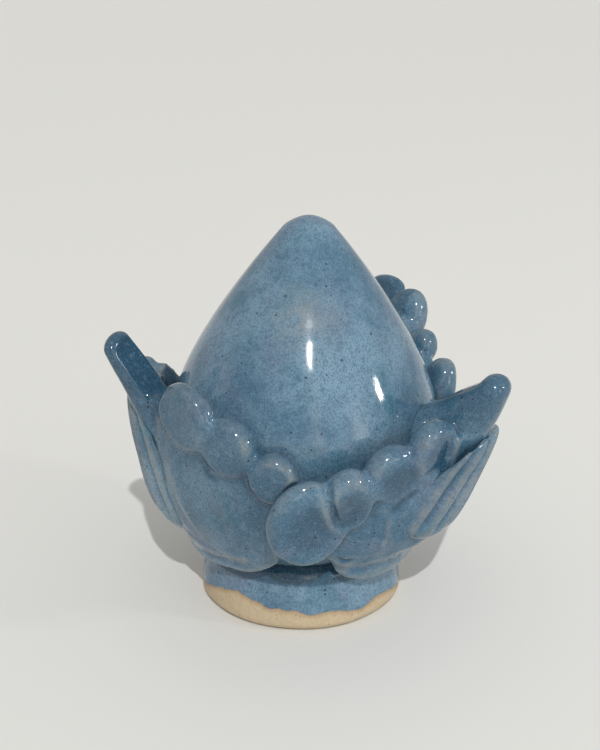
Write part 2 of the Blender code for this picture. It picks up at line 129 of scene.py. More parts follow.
# A leaf spreads by two angles from its keel, clockwise and then counter-clockwise seen from above,
# and narrows to a share of them at its hem, which hangs below the foot's top. Belly and flare are
# the keel's standoff low and high, and pooled is how thickly its wall and then its lobes are glazed.
# A fold is a soft ridge, or a groove where its height is negative, along stops of an offset and a rise.
LEAVES = [
    Leaf(
        side="right", azimuth=330.0, spread=(66.0, 54.0), waist=(0.68, 0.90), hem=0.0040,
        belly=0.0085, flare=0.0060, pooled=(0.06, 0.74), top=0.0510,
        tip=Tip(-1.0, 0.0266, 0.0668, 0.0120, 0.0062, 0.0134, 0.0050, 0.0012, 0.0),
        tongue=Tongue(-9.0, 12.0, 0.0125, 0.0500, 0.0172, 0.0034),
        lobes=[
            Lobe(-58.5, 0.0262, 0.0050, 0.0138, 0.0158, 0.0044, 0.0, 0.0007, -2.0, 13.0),
            Lobe(-44.5, 0.0338, 0.0035, 0.0090, 0.0125, 0.0056, 6.0, 0.0016, 15.0),
            Lobe(-29.0, 0.0412, 0.0005, 0.0096, 0.0106, 0.0054, 15.0, 0.0008),
            Lobe(-16.0, 0.0480, -0.0015, 0.0096, 0.0104, 0.0054, 10.0, 0.0006),
            Lobe(30.0, 0.0400, 0.0010, 0.0090, 0.0100, 0.0056, -10.0, 0.0009),
            Lobe(46.0, 0.0325, 0.0020, 0.0095, 0.0105, 0.0056, -15.0, 0.0009),
        ],
        folds=[
            Fold([(-52, 0.043), (-51.5, 0.036), (-49.5, 0.029), (-46.0, 0.0235)], 0.0009, -0.0010),
            Fold([(-55, 0.040), (-54, 0.033), (-51, 0.026)], 0.0013, 0.0008),
            Fold([(-11, 0.060), (-11, 0.050), (-11, 0.042), (-9, 0.032)], 0.0013, 0.0007),
            Fold([(-34, 0.033), (-29, 0.026), (-27, 0.017), (-28, 0.010)], 0.0018, 0.0006),
            Fold([(-30, 0.024), (-25, 0.031), (-19, 0.036)], 0.0014, -0.0005),
            Fold([(-38, 0.002), (-28, 0.004), (-16, 0.009), (-6, 0.013)], 0.0018, 0.0006),
            Fold([(-45, 0.0085), (-41, 0.0065), (-37, 0.0075)], 0.0009, -0.0009),
            Fold([(10, 0.010), (28, 0.006), (44, 0.008)], 0.0014, 0.0008),
            Fold([(34, 0.014), (38, 0.026)], 0.0014, 0.0007),
        ],
    ),
    Leaf(
        side="left", azimuth=196.0, spread=(58.0, 70.0), waist=(0.90, 0.92), hem=0.0010,
        belly=0.0028, flare=0.0016, pooled=(0.44, 0.42), top=0.0550,
        tip=Tip(3.0, 0.0184, 0.0758, 0.0076, 0.0061, 0.0074, 0.0036, 0.0024, -56.0),
        tongue=Tongue(3.0, -10.0, 0.0065, 0.0585, 0.0142, 0.0034),
        lobes=[
            Lobe(62.5, 0.0405, 0.0010, 0.0086, 0.0092, 0.0048, -20.0, 0.0009),
            Lobe(45.5, 0.0490, 0.0010, 0.0098, 0.0100, 0.0054, -15.0, 0.0010),
            Lobe(28.0, 0.0565, 0.0020, 0.0122, 0.0118, 0.0050, -12.0, 0.0012),
            Lobe(-23.0, 0.0575, 0.0050, 0.0040, 0.0046, 0.0042, 10.0, 0.0002),
            Lobe(-35.0, 0.0490, 0.0060, 0.0050, 0.0060, 0.0046, 12.0, 0.0003),
            Lobe(-49.0, 0.0385, 0.0050, 0.0066, 0.0076, 0.0050, 12.0, 0.0006),
        ],
        folds=[
            Fold([(10, 0.010), (18, 0.0065), (28, 0.0050), (38, 0.0045)], 0.0014, 0.0007),
            Fold([(32, 0.0085), (42, 0.0060), (54, 0.0065)], 0.0016, 0.0005),
            Fold([(19, 0.044), (20, 0.032), (22, 0.022), (26, 0.013)], 0.0016, 0.0005),
            Fold([(42, 0.034), (43, 0.026), (46, 0.016)], 0.0022, 0.0004),
            Fold([(35, 0.046), (37, 0.040), (40, 0.037)], 0.0012, -0.0004),
            Fold([(52, 0.044), (54, 0.037), (58, 0.033)], 0.0012, -0.0004),
            Fold([(61, 0.028), (61, 0.020), (62, 0.012)], 0.0018, 0.0004),
            Fold([(-20, 0.010), (-40, 0.006), (-52, 0.008)], 0.0014, 0.0008),
            Fold([(-34, 0.034), (-38, 0.018)], 0.0016, 0.0006),
        ],
    ),
    Leaf(
        side="back", azimuth=66.0, spread=(60.0, 68.0), waist=(0.90, 0.90), hem=0.0030,
        belly=0.0060, flare=0.0040, pooled=(0.22, 0.50), top=0.0550,
        tip=Tip(-4.0, 0.0265, 0.0705, 0.0150, 0.0080, 0.0080, 0.0046, 0.0016, 0.0),
        tongue=Tongue(0.0, 0.0, 0.0110, 0.0530, 0.0175, 0.0034),
        lobes=[
            Lobe(-50.0, 0.0465, 0.0010, 0.0082, 0.0130, 0.0054, 12.0, 0.0009),
            Lobe(-31.0, 0.0575, 0.0010, 0.0058, 0.0070, 0.0050, 10.0, 0.0006),
            Lobe(-15.0, 0.0635, 0.0035, 0.0085, 0.0110, 0.0054, 10.0, 0.0008),
            Lobe(28.0, 0.0590, 0.0030, 0.0100, 0.0120, 0.0056, -10.0, 0.0010),
            Lobe(44.0, 0.0510, 0.0020, 0.0095, 0.0110, 0.0056, -12.0, 0.0009),
            Lobe(60.0, 0.0390, 0.0020, 0.0095, 0.0110, 0.0056, -15.0, 0.0009),
        ],
        folds=[
            Fold([(-50, 0.006), (-25, 0.004), (5, 0.008)], 0.0014, 0.0008),
            Fold([(12, 0.009), (35, 0.005), (60, 0.009)], 0.0014, 0.0008),
            Fold([(-38, 0.038), (-34, 0.022), (-36, 0.012)], 0.0016, 0.0008),
            Fold([(34, 0.042), (38, 0.026), (36, 0.014)], 0.0016, 0.0008),
            Fold([(52, 0.034), (54, 0.020)], 0.0014, 0.0006),
        ],
    ),
]
OVERLAPPING_LEAF, OVERLAPPED_SIDE = LEAVES[0], "left"


# ---------------------------------------------------------------- profiles and places

def smooth_step(value):
    """Eases from zero to one, and stays there."""
    value = np.clip(value, 0.0, 1.0)
    return value * value * (3 - 2 * value)


def polar(azimuth, radius, height):
    """Points at azimuths, distances from the vertical axis and heights."""
    angle = np.radians(azimuth)
    spots = np.broadcast_arrays(radius * np.cos(angle), radius * np.sin(angle), height)
    return np.stack(spots, axis=-1).astype(float)


def foot_radius(height):
    """The foot's outer radius above its rounded edge."""
    share = (height - FOOT_EDGE_ROUND) / (FOOT_HEIGHT - FOOT_EDGE_ROUND)
    return FOOT_RADIUS + (FOOT_TOP_RADIUS - FOOT_RADIUS) * smooth_step(share)


def bud_radius(height):
    """The bud's outer radius."""
    drop = np.clip((BUD_WIDEST_HEIGHT - height) / BUD_WIDEST_RISE, 0.0, 1.0)
    bowl = BUD_SEAT_RADIUS + (BUD_RADIUS - BUD_SEAT_RADIUS) * (1 - drop**2) ** BUD_BOWL_FULLNESS
    sharp_cone = BUD_TOP_HEIGHT + BUD_POINT_TRIM - BUD_WIDEST_HEIGHT
    rise = np.clip((height - BUD_WIDEST_HEIGHT) / sharp_cone, 0.0, 1.0)
    rounding = np.clip(1 - (BUD_TOP_HEIGHT - height) / BUD_POINT_ROUND, 0.0, 1.0)
    cone = BUD_RADIUS * (1 - rise**BUD_CONE_FULLNESS) * np.sqrt(1 - rounding**2)
    return np.where(height <= BUD_WIDEST_HEIGHT, bowl, cone)


def bud_axis(height):
    """How far the leaning bud's own axis stands towards +X at a height."""
    return BUD_LEAN * (height - FOOT_HEIGHT)


def wall_radius(leaf, offset, height):
    """Middle of a leaf's wall: on the bud at its sides and standing off along its keel."""
    hem = FOOT_HEIGHT - leaf.hem
    rise = np.maximum(0.0, (height - hem) / (FOOT_HEIGHT + leaf.top - hem))
    standoff = leaf.belly * smooth_step(rise / KEEL_BELLY_BAND) + leaf.flare * rise**2
    fade = np.cos(np.pi / 2 * np.minimum(1.0, np.abs(offset) / KEEL_HALF_ANGLE)) ** 2
    core = np.maximum(bud_radius(np.minimum(height, BUD_WIDEST_HEIGHT)), foot_radius(height))
    hem_standoff = LEAF_HEM_STANDOFF * (1 - smooth_step(rise / LEAF_HEM_BAND))
    return core + SEAM + LEAF_THICKNESS / 2 + standoff * fade + hem_standoff


def wall_point(leaf, offset, height, standoff=0.0):
    """Points on the middle of a leaf's wall, or off it by a distance outwards."""
    spots = polar(leaf.azimuth + offset, wall_radius(leaf, offset, height) + standoff, height)
    spots[..., 0] += bud_axis(height)
    return spots


def rim_height(leaf, offset):
    """Height of a wall's upper edge, which runs a little above the middles of the lobes."""
    stops = sorted([(lobe.offset, lobe.rise) for lobe in leaf.lobes] + [(0.0, leaf.top)])
    offsets, rises = zip(*stops)
    return FOOT_HEIGHT + RIM_RAISE + np.interp(offset, offsets, rises)


def lobe_frame(leaf, lobe):
    """A lobe's centre, and its across, along and outward directions in the plane of the wall."""
    step = 0.001
    height = FOOT_HEIGHT + lobe.rise
    above = wall_point(leaf, lobe.offset, height + step)
    below = wall_point(leaf, lobe.offset, height - step)
    along = Vector(above - below).normalized()
    across = Vector(polar(leaf.azimuth + lobe.offset + 90, 1.0, 0.0))
    across = (across - across.dot(along) * along).normalized()
    outward = across.cross(along)
    turn = Matrix.Rotation(math.radians(lobe.yaw), 3, along)
    turn = turn @ Matrix.Rotation(math.radians(lobe.pitch), 3, across)
    turn = turn @ Matrix.Rotation(math.radians(lobe.roll), 3, outward)
    centre = Vector(wall_point(leaf, lobe.offset, height, lobe.standoff))
    return centre, turn @ across, turn @ along, turn @ outward


def tip_frame(leaf):
    """A tip's root and end, and its along, across and outward directions."""
    start = Vector(wall_point(leaf, 0.0, FOOT_HEIGHT + leaf.top - TIP_ROOT_DROP))
    reach = BUD_RADIUS + leaf.tip.reach
    end = Vector(polar(leaf.azimuth + leaf.tip.offset, reach, FOOT_HEIGHT + leaf.tip.rise))
    along = (end - start).normalized()
    across = along.cross(Vector((0, 0, 1))).normalized()
    across = Matrix.Rotation(math.radians(leaf.tip.roll), 3, along) @ across
    return start, end, along, across, across.cross(along)


# ---------------------------------------------------------------- clay shapes

def to_mesh(name, shape):
    """Turns a shape in hand into a mesh."""
    mesh = bpy.data.meshes.new(name)
    shape.to_mesh(mesh)
    shape.free()
    return mesh


def turned(profile, sides):
    """A solid of revolution from (radius, height) points that start and end on the axis."""
    shape = bmesh.new()
    points = [shape.verts.new((radius, 0.0, height)) for radius, height in profile]
    edges = [shape.edges.new(pair) for pair in zip(points, points[1:])]
    bmesh.ops.spin(
        shape, geom=points + edges, axis=(0, 0, 1), cent=(0, 0, 0),
        angle=math.tau, steps=sides, use_merge=True,
    )
    bmesh.ops.remove_doubles(shape, verts=shape.verts, dist=1e-6)
    bmesh.ops.recalc_face_normals(shape, faces=shape.faces)
    return shape


def slab(across, up):
    """A closed flat slab from -1 to 1 in x and y, its two faces at z of -1 and 1."""
    pad = bmesh.new()
    bmesh.ops.create_grid(pad, x_segments=across, y_segments=up, size=1.0)
    for vertex in pad.verts:
        vertex.co.z = -1.0
    raised = bmesh.ops.extrude_face_region(pad, geom=pad.faces[:], use_keep_orig=True)
    for item in raised["geom"]:
        if isinstance(item, bmesh.types.BMVert):
            item.co.z = 1.0
    return pad


def bend(pad, place):
    """Moves a slab's points to where place(side, rise, through) puts them."""
    flat = np.array([vertex.co for vertex in pad.verts])
    spots = place(flat[:, 0], (flat[:, 1] + 1) / 2, flat[:, 2])
    for vertex, spot in zip(pad.verts, spots):
        vertex.co = spot
    bmesh.ops.recalc_face_normals(pad, faces=pad.faces)


def join(shape, pad):
    """Adds a finished pad to the clay in hand."""
    mesh = to_mesh("pad", pad)
    shape.from_mesh(mesh)
    bpy.data.meshes.remove(mesh)


def add_wall(shape, leaf):
    """A leaf's wall: a pad bent round the bud, from its hem up to its lobes."""
    hem = FOOT_HEIGHT - leaf.hem

    def place(side, rise, through):
        waist = np.where(side > 0, leaf.waist[1], leaf.waist[0])
        spread = np.where(side > 0, leaf.spread[1], leaf.spread[0])
        offset = side * spread * (waist + (1 - waist) * smooth_step(rise / WAIST_BAND))
        low = hem + LEAF_CORNER_ROUND * np.abs(side) ** 6
        height = low + (rim_height(leaf, offset) - low) * rise
        thickness = LEAF_THICKNESS * (1 - 0.6 * np.abs(side) ** 6 - 0.4 * (1 - smooth_step(rise / 0.2)))
        return wall_point(leaf, offset, height, through * thickness / 2)

    pad = slab(90, 50)
    bend(pad, place)
    join(shape, pad)


def add_ball(shape, centre, axes, sizes, flatness=1.0):
    """A clay ball pressed to three half sizes along three directions, its faces pressed flatter."""
    ball = bmesh.new()
    bmesh.ops.create_icosphere(ball, subdivisions=5, radius=1.0)
    for vertex in ball.verts:
        vertex.co.z = math.copysign(abs(vertex.co.z) ** flatness, vertex.co.z)
    turn = Matrix(axes).transposed().to_4x4()
    place = Matrix.Translation(centre) @ turn @ Matrix.Diagonal((*sizes, 1.0))
    bmesh.ops.transform(ball, matrix=place, verts=ball.verts)
    join(shape, ball)


def add_lobes(shape, leaf):
    for lobe in leaf.lobes:
        centre, across, along, outward = lobe_frame(leaf, lobe)
        sizes = (lobe.half_width, lobe.half_height, lobe.half_depth)
        add_ball(shape, centre, (across, along, outward), sizes, LOBE_FLATNESS)


def add_tip(shape, leaf):
    """The curled tip: a row of pressed balls that tapers outwards, its back flush with the wall."""
    start, end, along, across, inward = tip_frame(leaf)
    for ball in range(TIP_BALLS):
        share = ball / (TIP_BALLS - 1)
        width = leaf.tip.root_width + (leaf.tip.end_width - leaf.tip.root_width) * share
        depth = leaf.tip.root_depth + (leaf.tip.end_depth - leaf.tip.root_depth) * share
        rise = (depth - LEAF_THICKNESS / 2) * (1 - share) + TIP_ARCH * math.sin(math.pi * share)
        centre = start.lerp(end, share) + inward * rise
        add_ball(shape, centre, (across, along, inward), (width, depth, depth))


def press_tongue(leaf, flutes, depth):
    """A fluted pad bent over the outside of its leaf, and how thin its glaze lies at each point."""
    tongue = leaf.tongue
    length = tongue.top - tongue.bottom
    thinned = []

    def place(across, up, through):
        across = np.sin(np.pi / 2 * across)
        up = np.sin(np.pi / 2 * (2 * up - 1))
        border = np.maximum(np.abs(across), np.abs(up))
        low = np.minimum(up, 0.0)
        side = across * np.sqrt(1 - low**2 / 2)
        down = low * np.sqrt(1 - across**2 / 2)
        above_foot = TONGUE_FOOT_SHARE + (1 - TONGUE_FOOT_SHARE) * up
        rise = np.where(up < 0, TONGUE_FOOT_SHARE * (1 + down), above_foot)
        ridge = np.cos(np.pi * flutes * side)
        fluted = smooth_step(rise / 0.35)
        thinned.append(0.62 + 0.55 * smooth_step(ridge) * fluted)
        height = FOOT_HEIGHT + tongue.bottom + length * rise
        height -= rise**4 * length * (TONGUE_CORNER_DROP * side**2 + 0.03 * (1 - ridge) / 2)
        spread = TONGUE_FOOT_SPREAD + (1 - TONGUE_FOOT_SPREAD) * smooth_step(rise)
        middle = tongue.offset + tongue.slant * rise
        outside = wall_radius(leaf, middle, height) + LEAF_THICKNESS / 2
        turn = np.degrees(side * tongue.half_width * spread / outside)
        rounding = np.sqrt(np.clip(1 - border**6, 0.0, 1.0))
        thickness = TONGUE_THICKNESS * (0.15 + 0.85 * (1 - side**2)) * (0.04 + 0.96 * rounding)
        crest = depth * ridge * fluted * (1 - 0.6 * side**4) * rounding
        standoff = LEAF_THICKNESS / 2 - TONGUE_SINK + tongue.lift * rise**4
        standoff += np.where(through > 0, thickness + crest, crest * 0.5)
        return wall_point(leaf, middle + turn, height, standoff)

    pad = slab(150, 100)
    bend(pad, place)
    return pad, thinned[0]


def points_of(mesh):
    """A mesh's points and their normals as two arrays."""
    points = np.empty(len(mesh.vertices) * 3)
    normals = np.empty(len(mesh.vertices) * 3)
    mesh.vertices.foreach_get("co", points)
    mesh.vertex_normals.foreach_get("vector", normals)
    return points.reshape(-1, 3), normals.reshape(-1, 3)


def set_points(mesh, points):
    mesh.vertices.foreach_set("co", points.ravel())
    mesh.update()


def pressed(name, shape, grain, rounds):
    """Overlapping clay pressed into one skin and rubbed smooth."""
    mesh = to_mesh(name, shape)
    piece = bpy.data.objects.new(name, mesh)
    bpy.context.scene.collection.objects.link(piece)
    remesh = piece.modifiers.new("press", "REMESH")
    remesh.mode = "VOXEL"
    remesh.voxel_size = grain
    rub = piece.modifiers.new("rub", "SMOOTH")
    rub.iterations = rounds
    graph = bpy.context.evaluated_depsgraph_get()
    skin = bpy.data.meshes.new_from_object(piece.evaluated_get(graph))
    bpy.data.objects.remove(piece)
    bpy.data.meshes.remove(mesh)
    skin.name = name
    return skin


def write_mask(mesh, name, values):
    layer = mesh.attributes.new(name, "FLOAT", "POINT")
    layer.data.foreach_set("value", values.astype(np.float32))


def arrays(vectors):
    return [np.array(vector) for vector in vectors]


def offset_from_keel(leaf, x, y):
    """How many degrees points lie round from a leaf's keel, from -180 to 180."""
    azimuth = np.degrees(np.arctan2(y, x))
    return (azimuth - leaf.azimuth + 180) % 360 - 180


def clear_of_turned(points):
    """Presses whatever lies inside the bud or the foot out to their glazed skin."""
    height = points[:, 2]
    below = height < FOOT_HEIGHT
    axis = np.where(below, 0.0, bud_axis(height))
    least = np.where(below, foot_radius(height), bud_radius(height))
    away = points[:, :2] - np.stack([axis, np.zeros_like(axis)], axis=-1)
    distance = np.linalg.norm(away, axis=1)
    inside = distance < least
    factor = np.where(inside, least / np.maximum(distance, 1e-9), 1.0)
    points[:, 0] = away[:, 0] * factor + axis
    points[:, 1] = away[:, 1] * factor


def wobble(points, size, seed):
    """Soft noise from -1 to 1 at each point, for clay shaped by hand."""
    shift = Vector((seed * 1.7, seed * 3.1, seed * 0.7))
    return np.array([noise.noise(Vector(point) / size + shift) for point in points])


def dish_lobes(points, normals, leaf):
    """Thumb marks: each lobe is pressed in at its middle and left proud round it.

    Gives how much glaze pools on each point of the lobes.
    """
    pooled = np.zeros(len(points))
    for lobe in leaf.lobes:
        centre, across, along, outward = arrays(lobe_frame(leaf, lobe))
        local = points - centre
        side = local @ across / lobe.half_width
        up = local @ along / lobe.half_height
        out = local @ outward / lobe.half_depth
        ring = np.hypot(side, up)
        facing = smooth_step(normals @ outward / 0.5) * (out > -0.3) * (out < 1.6)
        middle = np.clip(1 - (ring / 0.75) ** 2, 0, 1) ** 1.5
        rim = np.exp(-(((ring - 0.85) / 0.16) ** 2))
        points -= np.outer(facing * lobe.dish * (middle - 0.30 * rim), outward)
        pooled = np.maximum(pooled, facing * smooth_step(1.4 * (1 - ring)))
    return pooled


def dish_tip(points, normals, leaf):
    """The tip's inner face is pressed hollow like the bowl of a spoon, where glaze pools."""
    start, end, along, across, inward = arrays(tip_frame(leaf))
    length = np.linalg.norm(end - start)
    local = points - start
    run = local @ along / length
    width = leaf.tip.root_width + (leaf.tip.end_width - leaf.tip.root_width) * np.clip(run, 0, 1)
    side = local @ across / width
    facing = smooth_step(normals @ inward / 0.5)
    bowl = np.clip(1 - (side / 0.8) ** 2, 0, 1) * smooth_step((run - 0.30) / 0.3)
    bowl *= smooth_step((1.10 - run) / 0.18)
    points -= np.outer(facing * bowl * leaf.tip.hollow, inward)
    return facing * bowl


def wrinkle(points, normals, leaf, depth):
    """Soft folds where the wall was pushed up against the foot, and tendons up to the lobes."""
    hem = FOOT_HEIGHT - leaf.hem
    offset = offset_from_keel(leaf, points[:, 0], points[:, 1])
    flat = np.hypot(points[:, 0], points[:, 1])
    outer = smooth_step((normals[:, 0] * points[:, 0] + normals[:, 1] * points[:, 1]) / flat / 0.5)
    near_hem = smooth_step(1 - (points[:, 2] - hem) / 0.016)
    folded = np.stack([offset / 16.0, points[:, 2] / 0.0034, np.full_like(flat, leaf.azimuth)], axis=-1)
    folds = np.array([noise.noise(Vector(spot)) for spot in folded])
    points += normals * (outer * near_hem * folds * depth)[:, None]
    tendons = np.stack([offset / 7.0, points[:, 2] / 0.030, np.full_like(flat, 5.0)], axis=-1)
    ridges = np.array([noise.noise(Vector(spot)) for spot in tendons])
    on_wall = smooth_step((points[:, 2] - hem) / 0.01) * smooth_step(1 - (points[:, 2] - hem) / 0.04)
    points += normals * (outer * on_wall * ridges * depth * 1.6)[:, None]


def fold(points, normals, leaf):
    """Pinched ridges and thumbed grooves along the outside of a leaf.

    Gives how proud of its surroundings each point was left, from -1 in a groove to 1 on a ridge.
    """
    centred = points[:, 0] - bud_axis(points[:, 2])
    offset = offset_from_keel(leaf, centred, points[:, 1])
    outer = smooth_step((normals[:, 0] * centred + normals[:, 1] * points[:, 1]) / BUD_RADIUS / 0.4)
    flat = np.stack([np.radians(offset) * BUD_RADIUS, points[:, 2] - FOOT_HEIGHT], axis=-1)
    proud = np.zeros(len(points))
    for ridge in leaf.folds:
        stops = np.array([(math.radians(turn) * BUD_RADIUS, rise) for turn, rise in ridge.stops])
        nearest = np.full(len(points), 1.0)
        run = np.zeros(len(points))
        for number, (start, end) in enumerate(zip(stops, stops[1:])):
            step = end - start
            share = np.clip((flat - start) @ step / (step @ step), 0, 1)
            away = np.linalg.norm(flat - start - share[:, None] * step, axis=1)
            closer = away < nearest
            nearest = np.where(closer, away, nearest)
            run = np.where(closer, (number + share) / (len(stops) - 1), run)
        fade = smooth_step(run / 0.25) * smooth_step((1 - run) / 0.25)
        shape = np.exp(-((nearest / ridge.width) ** 2)) * (0.25 + 0.75 * fade) * outer
        points += normals * (shape * ridge.height)[:, None]
        proud += shape * math.copysign(1.0, ridge.height)
    return np.clip(proud, -1, 1)


def tip_share(points, leaf):
    """How far out on the tip each point lies, from zero on the wall to one."""
    start, end, along, across, inward = arrays(tip_frame(leaf))
    run = (points - start) @ along / np.linalg.norm(end - start)
    near = np.linalg.norm((points - start) @ np.stack([across, inward], axis=-1), axis=1)
    return smooth_step((run - 0.35) / 0.35) * (near < 0.020)


def tuck_under(points):
    """Presses the overlapped leaf in behind the other leaf's big lobe, and leaves a dark gap."""
    lobe = OVERLAPPING_LEAF.lobes[0]
    centre, across, along, outward = arrays(lobe_frame(OVERLAPPING_LEAF, lobe))
    local = points - centre
    ring = np.hypot(local @ across / lobe.half_width, local @ along / lobe.half_height) / 1.08
    under = -lobe.half_depth * np.sqrt(np.clip(1 - ring**2, 0, 1)) - LAP_GAP
    out = local @ outward
    push = np.where((ring < 1) & (out > under), under - out, 0.0)
    points += np.outer(push, outward)


def glaze_masks(mesh, fine_rounds, broad_rounds, pooled=0.0, thinned=0.0, calm=0.0):
    """Writes where glaze pools in hollows and where it runs thin over edges, from the surface.

    Pooled and thinned add to what the surface gives, and calm takes away from the thin edges.
    On the foot the pooled extra is painted shade, and on the bud the thinned extra is a painted sheen.
    """
    points, normals = points_of(mesh)
    edges = np.empty(len(mesh.edges) * 2, dtype=int)
    mesh.edges.foreach_get("vertices", edges)
    first, second = edges.reshape(-1, 2).T
    count = np.bincount(edges, minlength=len(points))

    def spread(values):
        total = np.zeros_like(values)
        np.add.at(total, first, values[second])
        np.add.at(total, second, values[first])
        return total / count.reshape(-1, *[1] * (values.ndim - 1))

    def hollowness(rounds):
        soft = points
        for _ in range(rounds):
            soft = spread(soft)
        return np.einsum("ij,ij->i", soft - points, normals)

    span = np.median(np.linalg.norm(points[first] - points[second], axis=1))
    fine = spread(hollowness(fine_rounds)) / (span * fine_rounds * FULL_BEND)
    broad = spread(hollowness(broad_rounds)) / (span * broad_rounds * FULL_BEND)
    for name, values in (("pool", np.maximum(broad, 0) + pooled), ("thin", -fine * (1 - calm) + thinned)):
        write_mask(mesh, name, np.clip(values, 0, 1))


def add_piece(name, mesh, material, slot, *nodes):
    """One finished surface, which stands for its solids and rides with them."""
    mesh.name = name
    mesh.shade_smooth()
    mesh.materials.clear()
    mesh.materials.append(material)
    piece = bpy.data.objects.new(name, mesh)
    bpy.context.scene.collection.objects.link(piece)
    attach(piece, "root")
    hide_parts(*nodes)


# ---------------------------------------------------------------- glaze and clay

class Nodes:
    """A node tree with short ways to add and join nodes."""

    def __init__(self, tree):
        self.tree = tree

    def add(self, kind, **settings):
        node = self.tree.nodes.new(kind)
        for key, value in settings.items():
            setattr(node, key, value)
        return node

    def join(self, source, target):
        self.tree.links.new(source, target)

    def feed(self, socket, value):
        if isinstance(value, bpy.types.NodeSocket):
            self.join(value, socket)
        else:
            socket.default_value = value

    def filled(self, kind, values, **settings):
        """A new node's outputs, once each of its named inputs has its value or its link."""
        node = self.add(kind, **settings)
        for label, value in values.items():
            self.feed(node.inputs[label], value)
        return node.outputs

    def noise(self, where, scale, detail=2.0, rough=0.5):
        values = {"Vector": where, "Scale": scale, "Detail": detail, "Roughness": rough}
        return self.filled("ShaderNodeTexNoise", values)["Fac"]

    def cells(self, where, scale):
        """Distance to the nearest of many scattered points, and three random numbers for each."""
        found = self.filled("ShaderNodeTexVoronoi", {"Vector": where, "Scale": scale})
        return found["Distance"], self.filled("ShaderNodeSeparateColor", {"Color": found["Color"]})

    def ramp(self, value, low, high, start=0.0, end=1.0):
        values = {"Value": value, "From Min": low, "From Max": high, "To Min": start, "To Max": end}
        return self.filled("ShaderNodeMapRange", values, interpolation_type="SMOOTHSTEP")["Result"]

    def math(self, operation, first, second=0.0):
        return self.filled("ShaderNodeMath", {0: first, 1: second}, operation=operation)["Value"]

    def blend(self, factor, first, second):
        values = {"Factor": factor, "A": first, "B": second}
        return self.filled("ShaderNodeMix", values, data_type="RGBA")["Result"]

    def mask(self, name):
        return self.add("ShaderNodeAttribute", attribute_name=name).outputs["Fac"]

    def squeeze(self, where, scale):
        node = self.add("ShaderNodeVectorMath", operation="MULTIPLY")
        self.feed(node.inputs[0], where)
        node.inputs[1].default_value = scale
        return node.outputs["Vector"]


def new_group(name, ins, outs):
    """A shader group with named inputs and outputs: its nodes, its input and its output node."""
    tree = bpy.data.node_groups.new(name, "ShaderNodeTree")
    for label, kind, default in ins:
        socket = tree.interface.new_socket(label, in_out="INPUT", socket_type=kind)
        if default is not None:
            socket.default_value = default
    for label, kind in outs:
        tree.interface.new_socket(label, in_out="OUTPUT", socket_type=kind)
    nodes = Nodes(tree)
    return nodes, nodes.add("NodeGroupInput").outputs, nodes.add("NodeGroupOutput").inputs


